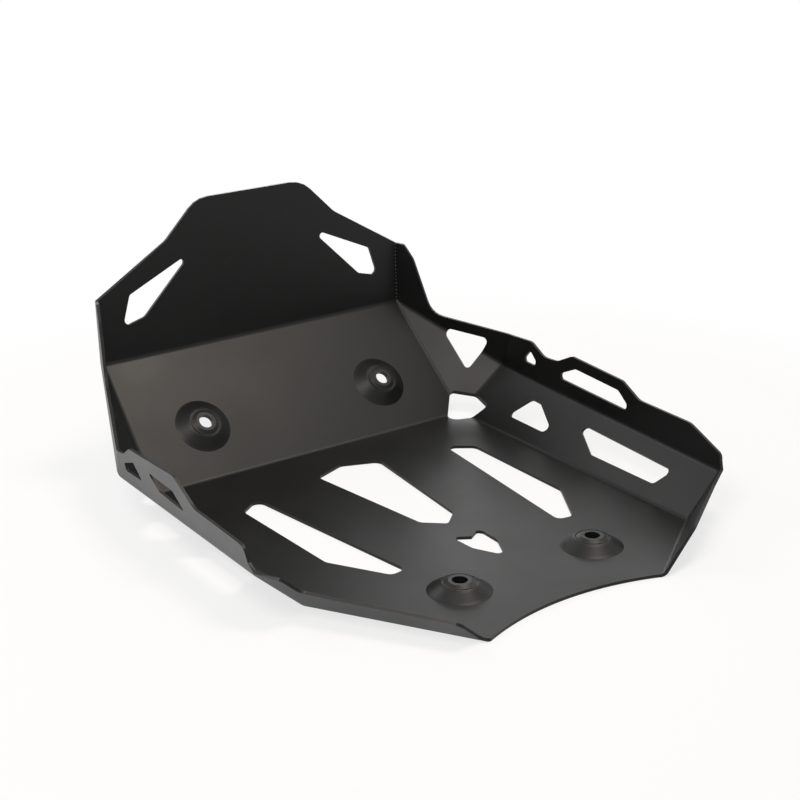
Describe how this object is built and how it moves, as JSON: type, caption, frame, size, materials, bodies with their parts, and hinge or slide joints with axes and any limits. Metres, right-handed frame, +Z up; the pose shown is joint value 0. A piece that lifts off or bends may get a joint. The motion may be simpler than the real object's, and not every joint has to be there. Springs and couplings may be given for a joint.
{
  "type": "motorcycle skid plate",
  "caption": "Folded and welded sheet skid plate with a flat base, sloping front and side panels, raised side walls, pressed mounting bosses and angular cutouts.",
  "frame": {"origin": "bottom centre of the bounding box, on the underside of the base", "axes": "+X to the right of the machine, +Y to its front, +Z up"},
  "size_m": [0.3288, 0.3598, 0.1712],
  "materials": {
    "coat": "satin black powder coat"
  },
  "bodies": {
    "root": {"skid_plate": "coat"}
  },
  "joints": []
}
